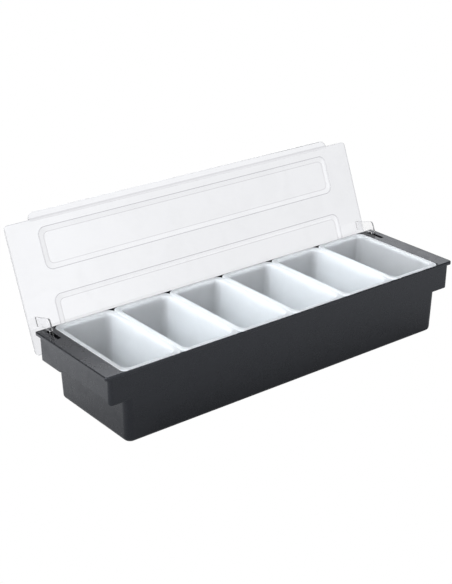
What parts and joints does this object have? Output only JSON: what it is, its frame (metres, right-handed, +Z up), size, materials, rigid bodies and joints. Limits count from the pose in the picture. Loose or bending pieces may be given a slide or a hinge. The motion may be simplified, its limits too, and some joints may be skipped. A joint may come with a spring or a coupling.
{
  "type": "condiment caddy",
  "caption": "Long counter-top tray with grips at its ends, holding a row of lift-out tub inserts under a clear lid hinged along the back.",
  "frame": {"origin": "middle of the tray's flat underside", "axes": "+X along the tray, to the right as seen from the front, +Y towards the lid's hinge at the back, +Z up"},
  "size_m": [0.5, 0.2041, 0.1987],
  "materials": {
    "black_plastic": "black, fine satin mould texture",
    "clear_plastic": "clear, polished",
    "white_plastic": "milky white, smooth satin"
  },
  "bodies": {
    "tray": {"tray": "black_plastic"},
    "lid": {"lid": "clear_plastic"},
    "insert_1": {"insert_1": "white_plastic"},
    "insert_2": {"insert_2": "white_plastic"},
    "insert_3": {"insert_3": "white_plastic"},
    "insert_4": {"insert_4": "white_plastic"},
    "insert_5": {"insert_5": "white_plastic"},
    "insert_6": {"insert_6": "white_plastic"}
  },
  "joints": [
    {"name": "lid_hinge", "type": "hinge", "parent": "tray", "child": "lid", "pos_m": [0, 0.06536, 0.07445], "axis": [-1, 0, 0], "range_deg": [-111.26, 0]},
    {"name": "insert_1_lift", "type": "slide", "parent": "tray", "child": "insert_1", "axis": [0, 0, 1], "range_m": [0, 0.095]},
    {"name": "insert_2_lift", "type": "slide", "parent": "tray", "child": "insert_2", "axis": [0, 0, 1], "range_m": [0, 0.095]},
    {"name": "insert_3_lift", "type": "slide", "parent": "tray", "child": "insert_3", "axis": [0, 0, 1], "range_m": [0, 0.095]},
    {"name": "insert_4_lift", "type": "slide", "parent": "tray", "child": "insert_4", "axis": [0, 0, 1], "range_m": [0, 0.095]},
    {"name": "insert_5_lift", "type": "slide", "parent": "tray", "child": "insert_5", "axis": [0, 0, 1], "range_m": [0, 0.095]},
    {"name": "insert_6_lift", "type": "slide", "parent": "tray", "child": "insert_6", "axis": [0, 0, 1], "range_m": [0, 0.095]}
  ]
}
